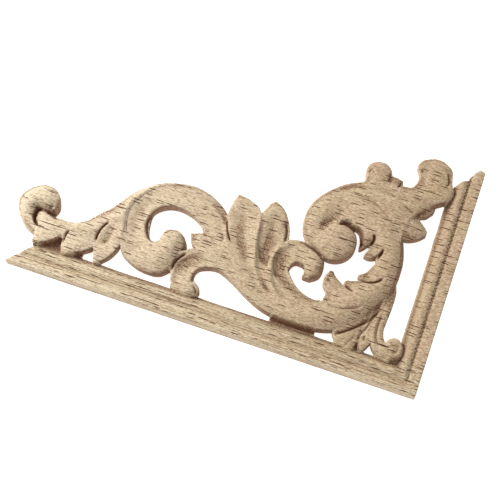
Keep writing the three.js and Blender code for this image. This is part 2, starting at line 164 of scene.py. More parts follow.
# Each row: x and y on the first edge, x and y on the second edge,
# then the face's height at the first edge, in the middle and at the second edge.
strokes = {
    # Curl at the far left: it leaves the stem low on the right, goes round the left and ends in an eye.
    "curl": [
        (-203, 19, -204, 28.5, 4, 6, 6),
        (-210.5, 18.5, -210.5, 27, 4, 6, 5),
        (-217, 21, -214.5, 28, 3.5, 6, 5),
        (-222, 25.5, -216.5, 30.5, 5, 7, 6),
        (-225.5, 31.5, -216.5, 32.5, 5, 8, 7),
        (-225.5, 37, -215.5, 34, 5, 8.5, 8),
        (-221.5, 42.5, -214.5, 35, 5, 9, 8.5),
        (-215.5, 46, -213.5, 35.5, 5, 9, 9),
        (-209.5, 45, -212.5, 35.5, 5, 9, 9),
        (-205.5, 40.5, -211.5, 35, 5, 8, 9),
        (-204, 35.5, -210.5, 34.5, 5, 7, 8),
        (-205.5, 31.5, -210.5, 33.5, 4, 6, 7),
    ],
    # Stem from the curl to the big C scroll; it thins out along the outside of the scroll.
    "stem": [
        (-212.5, 32.5, -214, 29.5, 4, 5, 4),
        (-208, 32, -213, 26, 5, 7, 5),
        (-201, 30.5, -205, 22, 5, 8, 6),
        (-194, 31, -197, 21, 5, 8.5, 6),
        (-188, 34.5, -188, 22, 5, 8.5, 6.5),
        (-183.5, 40, -181, 24, 5, 8, 7),
        (-179, 45, -174, 28, 5, 7.5, 7),
        (-174.5, 51.5, -170.5, 36, 5, 7.5, 6.5),
        (-170, 58, -168.5, 46, 5, 7.5, 6),
        (-163.5, 63.5, -165, 55, 5, 7, 6),
        (-157, 67.5, -159, 62, 5, 6, 6),
    ],
    # First leaf lobe under the stem, standing on the long rail.
    "left_leaf_one": [
        (-206, 27, -195, 29, 6.5, 7, 7),
        (-211, 22.5, -197, 24.5, 6, 6.8, 6.5),
        (-211, 18, -198.5, 21, 5.8, 6.5, 6.2),
        (-211, 15, -202, 17.5, 5.8, 6.2, 6),
        (-210, 12.5, -207, 14.5, 5, 5.6, 5),
    ],
    # Second leaf lobe.
    "left_leaf_two": [
        (-193, 30, -181, 33.5, 7.2, 7.8, 7.5),
        (-196, 24.5, -180.5, 27, 6.8, 7.6, 7.2),
        (-196, 19, -179.5, 21.5, 6.4, 7.2, 6.6),
        (-195, 15.5, -184, 17.5, 6, 6.8, 6),
        (-193.5, 13, -189, 14.5, 5.4, 6, 5.2),
    ],
    # Third leaf lobe, a spindle with a hollow back.
    "left_leaf_three": [
        (-176.5, 39, -171, 41.5, 7.5, 7.5, 7.5),
        (-179.5, 33.5, -168.5, 36.5, 7.5, 7.2, 7.5),
        (-180.5, 28, -167.5, 30, 7, 7, 7),
        (-180, 23, -167.5, 25.5, 6.6, 6.8, 6.6),
        (-178.5, 18, -170, 19.5, 6.2, 6.2, 6.2),
        (-177, 13.5, -174.5, 14.5, 5, 5, 5),
    ],
    # Big C scroll: from under the central leaf over the top, down the left, round to its bulb.
    "c_scroll": [
        (-110, 44.5, -119.5, 37.5, 3, 4, 3),
        (-116, 53.5, -127.5, 45.5, 5, 6, 5),
        (-121, 62.5, -131.5, 51.5, 4.5, 6, 5.5),
        (-129.5, 68.5, -137.5, 55, 4.5, 6, 6),
        (-140, 71.5, -144.5, 56.5, 4.5, 6, 6.5),
        (-151, 70, -150.5, 55.5, 5, 6.2, 6.8),
        (-161, 65, -155, 52.5, 6.8, 6.4, 7),
        (-167, 56.5, -157, 49.5, 7, 6.1, 7),
        (-170, 47.5, -157, 45, 7, 6, 7.2),
        (-170, 38.5, -156, 40, 7, 6.1, 7.2),
        (-168.5, 30, -154.5, 36.5, 7, 6.3, 7.4),
        (-164.5, 23.5, -153, 35, 6, 6.2, 7.4),
        (-157.5, 19.5, -151, 34.5, 5, 7.2, 7.4),
        (-150, 18, -149.5, 35.5, 5, 8.2, 7),
        (-142.5, 19, -148.5, 38, 5, 9, 7),
        (-138, 24, -148.5, 40.5, 5, 9.5, 6.5),
        (-136, 32, -147, 43, 5, 9.5, 6),
        (-134.5, 37.5, -145, 44, 5, 9, 5.5),
        (-137, 42, -142, 44.5, 5, 7, 5),
    ],
    # Short pointed leaf inside the mouth of the C scroll.
    "spur": [
        (-135.5, 46, -136, 47, 3, 3, 3),
        (-132, 47, -134, 42.5, 4, 5, 4),
        (-128.5, 48, -131, 39, 5, 6.5, 5),
        (-123, 49.5, -124.5, 37.5, 6, 7, 6),
        (-116, 50, -117, 37, 4, 4.5, 4),
    ],
    # Hook scroll that comes down on the long rail.
    "hook": [
        (-112, 41.5, -111.5, 31, 4, 4, 4),
        (-120, 40, -117.5, 31, 7, 7, 5.5),
        (-128, 38.5, -121, 30, 7, 6, 6),
        (-133.5, 36, -124, 28.5, 7, 5, 6.5),
        (-137, 32, -125.5, 26, 7, 4.8, 7),
        (-139, 26.5, -125.5, 23, 6.5, 5, 7),
        (-137, 20, -124, 20.5, 6, 6, 7),
        (-134.5, 14.5, -122, 19.5, 5.5, 7, 6),
        (-129.5, 12.5, -120.5, 18, 5, 7, 5),
        (-124.5, 12, -120, 16, 4, 5, 4),
    ],
    # Lower stem and the big acanthus ring: along the bottom, up the right side, into the hub.
    "lower_stem": [
        (-124.5, 33, -127, 43, 3, 4, 4),
        (-120, 31, -121.5, 46.5, 6.5, 7, 6.5),
        (-114.5, 31, -115, 46, 6.8, 7.4, 7.5),
        (-105.5, 27, -104, 45, 6.8, 7.8, 7.5),
        (-96.5, 22, -92, 40, 6.6, 8.1, 7.2),
        (-86.5, 18, -80, 33, 6.4, 8.4, 6.8),
        (-75.5, 16.5, -71, 30.5, 6.2, 8.6, 6.4),
        (-64, 16.5, -62, 31.5, 6, 8.8, 6.4),
        (-54, 18, -57, 34.5, 5.6, 9, 6.6),
        (-46, 21.5, -52, 40, 5, 9.6, 6.5),
        (-39.5, 27.5, -48, 44, 5, 9.6, 6.5),
        (-33.5, 36, -44.5, 47.5, 5, 9.5, 6.5),
        (-28, 46, -40, 52, 5, 9.3, 6.5),
        (-26, 56.5, -40, 58.5, 5, 9, 6.5),
        (-26.5, 67.5, -40.5, 65, 5, 8.7, 6.5),
        (-30, 78.5, -45, 74, 5, 8.5, 6.8),
        (-34, 86, -50, 80, 6, 8.5, 7.5),
        (-42, 98, -56, 90, 4, 5, 4),
    ],
    # Central leaf, left half.
    "leaf_left": [
        (-119, 75.5, -118, 75, 3.5, 3.5, 3.5),
        (-120, 70.5, -111.5, 73.5, 5, 5.5, 4.5),
        (-120.5, 64.5, -106, 70.5, 6, 6, 5.5),
        (-120, 58.5, -104, 67, 6.5, 6, 7),
        (-119, 52.5, -102.5, 59, 7, 6, 8),
        (-116, 45, -100, 50, 7.5, 6.5, 8.5),
        (-108, 37.5, -96, 41, 8, 7, 8.8),
        (-96, 29.5, -89.5, 33.5, 8, 8, 8.8),
        (-85, 24, -80, 28, 4, 5, 4),
    ],
    # Central leaf, right half.
    "leaf_right": [
        (-101.5, 75.5, -99, 78, 3.5, 4, 3.5),
        (-103, 71.5, -94, 75, 4.5, 5.5, 4.5),
        (-104, 67, -90, 70, 6, 6, 4.5),
        (-104, 60.5, -87, 63.5, 7.5, 5.8, 5),
        (-102, 51.5, -86.5, 58, 8.3, 5.5, 6),
        (-98.5, 43, -89.5, 49.5, 8.8, 6, 8),
        (-92.5, 35.5, -89.5, 42, 9, 6.5, 8.5),
        (-85, 29, -84.5, 34.5, 9, 7.5, 8.8),
        (-76, 25, -75.5, 29, 4, 5, 4),
    ],
    # Hook scroll right of the central leaf.
    "hook_two": [
        (-60, 22.5, -60, 32.5, 4, 4, 4),
        (-70, 24, -67.5, 32.5, 8.3, 7.5, 6),
        (-79, 27.5, -73.5, 35, 8.5, 6.5, 6.5),
        (-86, 33.5, -78, 39, 8.5, 5.8, 7),
        (-90.5, 41.5, -80.5, 42.5, 8.3, 5.3, 7),
        (-91.5, 49.5, -80.5, 45.5, 7.8, 5.2, 7),
        (-88, 57, -78.5, 48, 6.5, 5.8, 7),
        (-81, 60.5, -76, 48, 5, 6.5, 7),
        (-74, 60, -74, 47.5, 5, 7.3, 7),
        (-68, 57.5, -73, 45, 5, 8, 6.5),
        (-64.5, 52, -73, 43.5, 5, 8.3, 6),
        (-65, 45, -73.5, 42, 5, 7.5, 5),
        (-69, 41.5, -72.5, 41.5, 4, 6, 4),
    ],
    # Five teeth of the acanthus ring, from the tall one at the bottom left upwards.
    "tooth_one": [
        (-60.5, 50.5, -59, 50.5, 4, 4, 4),
        (-62.1, 46.5, -56.6, 47.6, 5, 5.5, 4.5),
        (-62, 42, -53, 45, 5.5, 7, 5.5),
        (-59, 37.6, -49.5, 42, 6, 7.5, 7),
        (-59.5, 33, -45, 38, 6, 8.5, 8.3),
        (-56, 27, -42, 33, 4, 5, 5),
    ],
    "tooth_two": [
        (-52, 47, -51, 48, 4, 4, 4),
        (-52, 45, -47.5, 48.5, 4.5, 6, 5),
        (-50, 41, -43.5, 49.5, 6, 7.5, 6),
        (-46, 38, -38, 48, 8, 8.5, 8),
        (-40, 34, -33, 44, 4, 5, 5),
    ],
    "tooth_three": [
        (-46.5, 51.5, -46.5, 52.5, 4.5, 4.5, 4.5),
        (-43.5, 50, -43, 55, 6, 6.5, 5),
        (-40, 49.5, -40.5, 59.5, 7.5, 7.5, 6),
        (-35.5, 50.5, -37, 63.5, 7.5, 8, 7.5),
        (-31, 52, -33, 67, 4, 5, 4),
    ],
    "tooth_four": [
        (-47, 63.4, -46.9, 63.7, 4.5, 4.5, 4.5),
        (-44.5, 62.9, -45.8, 66.6, 5.2, 5.6, 4.8),
        (-42, 63.4, -45.2, 68.6, 6.2, 6.6, 5.2),
        (-40, 65, -45.5, 71, 7, 7, 5.5),
        (-38, 69, -44, 76, 7.8, 7.8, 7.5),
        (-35, 75, -41, 82, 4, 5, 4),
    ],
    "tooth_five": [
        (-50.5, 66, -49.5, 66, 4.5, 4.5, 4.5),
        (-51, 71, -47, 69, 6, 6.5, 5),
        (-53, 75, -45.5, 73, 7, 7, 6),
        (-57.5, 77.5, -44.5, 78, 7.5, 7.5, 7.5),
        (-60, 83, -43, 84, 4, 5, 4),
    ],
    # Big scroll at the upper right, from the hub round to its ball.
    "big_scroll": [
        (-24, 97.5, -27, 84, 4, 5, 4),
        (-36, 104, -40, 80, 7, 8.8, 7.5),
        (-46, 105.5, -48, 79.5, 6, 8.8, 7.5),
        (-57, 103.5, -56, 79, 5, 8.5, 7.5),
        (-66.5, 99.5, -61.5, 78.5, 5, 8, 7.5),
        (-74.5, 92.5, -65.5, 77, 5, 8, 6.5),
        (-80.5, 84, -68, 74.5, 5, 7.5, 5.5),
        (-82.5, 75, -69, 71, 5, 7.3, 5.5),
        (-81, 66.5, -68, 67.5, 5, 7.5, 6.5),
        (-76, 60, -66.5, 64.5, 5, 8, 8),
        (-70.5, 57, -64.5, 63.5, 5, 8, 9),
        (-65, 55.5, -63, 63, 5, 7.5, 9),
    ],
    # Hub where the ring, the scroll and the upper leaves meet.
    "hub": [
        (-47, 70, -30, 68, 4, 5, 4),
        (-53, 80, -31, 77, 7.5, 8.3, 7),
        (-56, 88, -31, 86, 8, 8.5, 7.5),
        (-52, 98, -28, 95, 7.5, 8.3, 7.5),
        (-45, 104, -24, 101, 6, 8, 7.3),
        (-38, 108, -20, 108, 4, 5, 4),
    ],
    # Upper leaf with its round end; its right edge grows into the short rail.
    "top_leaf": [
        (-54, 90.5, -34, 84, 4, 5, 4),
        (-47, 97.5, -27, 94, 7, 8.5, 7.5),
        (-41, 104, -20.5, 101.5, 6, 8, 7),
        (-35, 107.5, -14, 107, 5, 8, 6.5),
        (-32.5, 112.5, -12.5, 112.5, 5, 7.5, 6.5),
        (-33, 117.5, -14.5, 116, 5, 7, 5.5),
        (-35, 121.5, -15.5, 120, 5, 6.5, 5),
        (-33, 126, -17, 125, 3.5, 6, 4.5),
        (-27.5, 129, -22, 128.5, 3, 4, 3.5),
    ],
    # Two side leaves that point at the short rail.
    "side_leaf_one": [
        (-52, 103, -52, 90, 4, 5, 4),
        (-42, 105, -42, 92, 7, 8.3, 8),
        (-32, 105, -34, 93.5, 6.5, 7.5, 7),
        (-25, 104.5, -28, 94.5, 6, 6.8, 5.5),
        (-21, 103.5, -23, 94.5, 5, 6, 4.5),
        (-19, 101, -19.5, 98.5, 4, 4.5, 4),
    ],
    "side_leaf_two": [
        (-53, 93, -48, 80, 4, 5, 4),
        (-44, 93, -40, 80, 8, 8.5, 8),
        (-35, 91.5, -34, 79.5, 7, 7.5, 6.5),
        (-27.5, 92, -28.5, 79, 6, 6.8, 5),
        (-23, 90, -23, 81.5, 5, 6, 4.5),
        (-19.5, 87, -19.5, 85, 4, 4.5, 4),
    ],
    # Neck of the round bud.
    "bud_neck": [
        (-63, 90.5, -46, 90, 4, 5, 4),
        (-64, 97.5, -45, 97, 6, 8.3, 8),
        (-59, 104, -46.5, 104.5, 5, 7.5, 6.5),
        (-60, 110, -47.5, 110, 5, 6.5, 5.5),
    ],
    # Small bump between the bud and the upper leaf.
    "bump": [
        (-48, 92.5, -40, 92, 4, 5, 4),
        (-47.5, 101.5, -39, 101, 7, 8, 7),
        (-47, 107, -39, 106.5, 5, 6.5, 5),
        (-46, 111.5, -39.5, 110.5, 4, 4.5, 4),
    ],
    # Fan of two lobes under the ring.
    "fan_one": [
        (-45, 34.5, -33, 42, 3, 3, 3),
        (-44.5, 26, -33.5, 33, 4, 5.5, 4.5),
        (-49.5, 19.5, -35, 25, 4.5, 6, 4.5),
        (-48, 16.5, -36, 19.5, 4.5, 5.8, 4.5),
        (-46, 14, -37.5, 13, 4, 4.5, 4),
    ],
    "fan_two": [
        (-34, 42, -29.5, 45, 3, 3, 3),
        (-34, 34, -29.5, 36.5, 4, 5, 4.5),
        (-35, 27, -30, 28.5, 4.5, 5.5, 4.5),
        (-35.5, 20, -29.5, 20, 4.5, 5.5, 4.5),
        (-34.5, 15, -32, 14.5, 4, 4.5, 4),
    ],
    # Small volute in the corner, hanging from the right side of the ring.
    "small_volute": [
        (-31, 62, -28.5, 58.5, 3, 4, 3),
        (-29, 52, -25, 50.5, 4, 4.5, 4),
        (-30, 42, -24.5, 42.5, 5, 5.5, 4.5),
        (-31, 33, -25, 33.5, 5.5, 6, 5),
        (-30.5, 24, -25, 27.5, 6, 6, 5),
        (-28.5, 18, -23, 22.5, 5.5, 6.5, 6),
        (-23.5, 14, -20.5, 21, 5, 7, 7),
        (-18, 12.5, -18, 20, 5, 7, 8),
    ],
}

# Rounded edges: how far the first edge rolls down at the stroke's start, middle and end,
# then how far the second edge does. A rolled edge drops steep_roll times as much as it is wide.
steep_roll = 1.3
rolls = {
    "curl": (1.2, 1.2, 1.6, 0.4, 0.4, 0.4),
    "stem": (0.8, 0.6, 0.8, 0, 0, 0),
    "left_leaf_three": (0.4, 0.4, 0.4, 0.8, 0.8, 0.8),
    "c_scroll": (2.4, 0.3, 2.6, 0, 1.6, 0.6),
    "hook": (0.3, 0.6, 0.8, 0, 1.5, 0.8),
    "lower_stem": (0.2, 0.4, 2.6, 0, 0, 0.4),
    "leaf_left": (0.8, 0.8, 0.8, 0, 0, 0),
    "leaf_right": (0, 0, 0, 1.2, 1.2, 0.4),
    "hook_two": (0.3, 0.5, 1.4, 0, 1.4, 0.6),
    "tooth_four": (0.8, 0.8, 0.8, 0, 0, 0),
    "tooth_five": (1.4, 1.4, 1.0, 0, 0, 0),
    "big_scroll": (0.4, 0.6, 2.0, 0.2, 0.4, 0.4),
    "top_leaf": (0, 0, 0, 0.8, 0.8, 0.8),
    "small_volute": (0.6, 0.6, 0.6, 0.6, 0.6, 0.6),
}


def spline(points, steps):
    """A smooth line through the points, as a carver would draw it."""
    p = np.asarray(points, float)
    p = np.vstack([2 * p[0] - p[1], p, 2 * p[-1] - p[-2]])
    share = np.arange(steps)[:, None] / steps
    parts = []
    for a, b, c, d in zip(p, p[1:], p[2:], p[3:]):
        k0, k1, k2 = (max(np.linalg.norm(q - r) ** 0.5, 1e-3) for q, r in ((a, b), (b, c), (c, d)))
        leaving = ((b - a) / k0 - (c - a) / (k0 + k1) + (c - b) / k1) * k1
        arriving = ((c - b) / k1 - (d - b) / (k1 + k2) + (d - c) / k2) * k1
        square = 3 * (c - b) - 2 * leaving - arriving
        cube = 2 * (b - c) + leaving + arriving
        parts.append(b + leaving * share + square * share**2 + cube * share**3)
    parts.append(p[-2:-1])
    return np.vstack(parts)


def spread(x, y, z):
    """Heights at scattered points, brought onto the grid."""
    i = np.clip(np.searchsorted(lines_x, x) - 1, 0, len(lines_x) - 2)
    j = np.clip(np.searchsorted(lines_y, y) - 1, 0, len(lines_y) - 2)
    fx = (x - lines_x[i]) / (lines_x[i + 1] - lines_x[i])
    fy = (y - lines_y[j]) / (lines_y[j + 1] - lines_y[j])
    total = np.zeros(grid_x.size)
    weight = np.zeros(grid_x.size)
    shares = [
        (0, 0, (1 - fx) * (1 - fy)),
        (1, 0, fx * (1 - fy)),
        (0, 1, (1 - fx) * fy),
        (1, 1, fx * fy),
    ]
    for di, dj, share in shares:
        at = (j + dj) * len(lines_x) + i + di
        total += np.bincount(at, share * z, minlength=grid_x.size)
        weight += np.bincount(at, share, minlength=grid_x.size)
    heights = np.where(weight > 0.05, total / np.maximum(weight, 1e-9), no_wood)
    return heights.reshape(grid_x.shape)


def rolled(distance, radius):
    """How far a rounded edge has dropped at a distance from the edge."""
    t = np.clip(1 - distance / np.maximum(radius, 1e-6), 0, 1)
    return radius * (1 - np.sqrt(1 - t * t))


def stroke_field(rows, roll):
    """A stroke's height and its outline distance on the grid."""
    rows = np.asarray(rows, float)
    first = spline(rows[:, 0:2], 40)
    second = spline(rows[:, 2:4], 40)
    heights = spline(rows[:, 4:7], 40)
    width = np.linalg.norm(first - second, axis=1)[:, None]
    v = np.linspace(0, 1, 90)[None, :]
    h1, h2, h3 = (heights[:, k : k + 1] for k in range(3))
    face = h1 * (1 - v) * (1 - 2 * v) + h2 * 4 * v * (1 - v) + h3 * v * (2 * v - 1)
    along = np.linspace(0, 1, len(first))
    first_roll = np.interp(along, (0, 0.5, 1), roll[:3])[:, None]
    second_roll = np.interp(along, (0, 0.5, 1), roll[3:])[:, None]
    face = face - steep_roll * (rolled(v * width, first_roll) + rolled((1 - v) * width, second_roll))
    x = first[:, 0:1] * (1 - v) + second[:, 0:1] * v
    y = first[:, 1:2] * (1 - v) + second[:, 1:2] * v
    outline = np.vstack([first[::5], second[::-5]])
    return spread(x.ravel(), y.ravel(), face.ravel()), distance_inside(outline)


# edge is how far each point is from the whole carving's outline: negative in the wood.
edge = rail_edge
layers = []
for name, rows in strokes.items():
    height, distance = stroke_field(rows, rolls.get(name, (0,) * 6))
    layers.append(height)
    edge = np.minimum(edge, distance)

# The balls and buds: the round ends of the curl, the big scroll, the bud and the corner volute, turned
# over with a gouge so that each stands on an upright wall under a flat dome.

# Each: centre x and y, half width along x and y, height, and the wall's share of the height.
domes = {
    "curl_disc": (-212.8, 39, 7.6, 6.3, 8.8, 0.66),
    "big_ball": (-63, 66, 11, 11, 9.8, 0.56),
    "bud": (-53.1, 110.3, 7, 6.8, 7, 0.66),
    "small_ball": (-17.6, 20.3, 4.9, 5.7, 7.2, 0.8),
}
for x, y, half_x, half_y, top, wall in domes.values():
    reach = np.sqrt(((grid_x - x) / half_x) ** 2 + ((grid_y - y) / half_y) ** 2)
    rise = wall + (1 - wall) * np.sqrt(np.clip(1 - reach**2, 0, 1))
    layers.append(np.where(reach < 1.03, top * rise, no_wood))
    edge = np.minimum(edge, (reach - 1) * min(half_x, half_y))

# The low grounds: thin wood that was left standing between the forms, painted dark as shade because it lies
# so deep.
# It ties the leaves to the rail, and the ball to its scroll.

# Each: x from and to, y from and to, height.
grounds = [
    (-208, -184, 12, 22, 2),
    (-82, -58, 12, 20, 2),
    (-47, -33, 12, 22, 2),
    (-25, -12, 12, 18, 2),
    (-217, -207, 26, 34, 4.6),
    (-65, -55.5, 72, 79, 4),
]
for x0, x1, y0, y1, height in grounds:
    distance = np.maximum(np.maximum(x0 - grid_x, grid_x - x1), np.maximum(y0 - grid_y, grid_y - y1))
    layers.append(np.where(distance < overlap, height, no_wood))
    edge = np.minimum(edge, distance)

# The carved face: all forms run together, softly where two meet at one height and in a step where one
# lies over another. The scrolls are sanded a little; the rails keep the cutter's sharp lines.
scroll_sharpness = 2.4
rail_sharpness = 6
sanding = 0.42
wood = edge < 0


def joined(fields, sharpness):
    """The highest of the fields, run together softly where two are near one height."""
    return np.log(sum(np.exp(sharpness * np.maximum(field, -20)) for field in fields)) / sharpness


def smoothed(field, radius):
    """The field averaged over the wood round each point."""
    def weights(line):
        step = np.gradient(line)
        return np.exp(-0.5 * ((line[:, None] - line[None, :]) / radius) ** 2) * step[None, :]
    along_y, along_x = weights(lines_y), weights(lines_x)
    mask = wood.astype(float)
    return (along_y @ (field * mask) @ along_x.T) / np.maximum(along_y @ mask @ along_x.T, 1e-6)


scrolls = joined(layers, scroll_sharpness)
scrolls = np.where(scrolls > 0, smoothed(np.maximum(scrolls, 0), sanding), scrolls)
surface = joined([scrolls, rails], rail_sharpness)

# The carved lines: veins, creases, scoops and raised rims, cut last with small tools. They are what
# tells one leaf from the next.

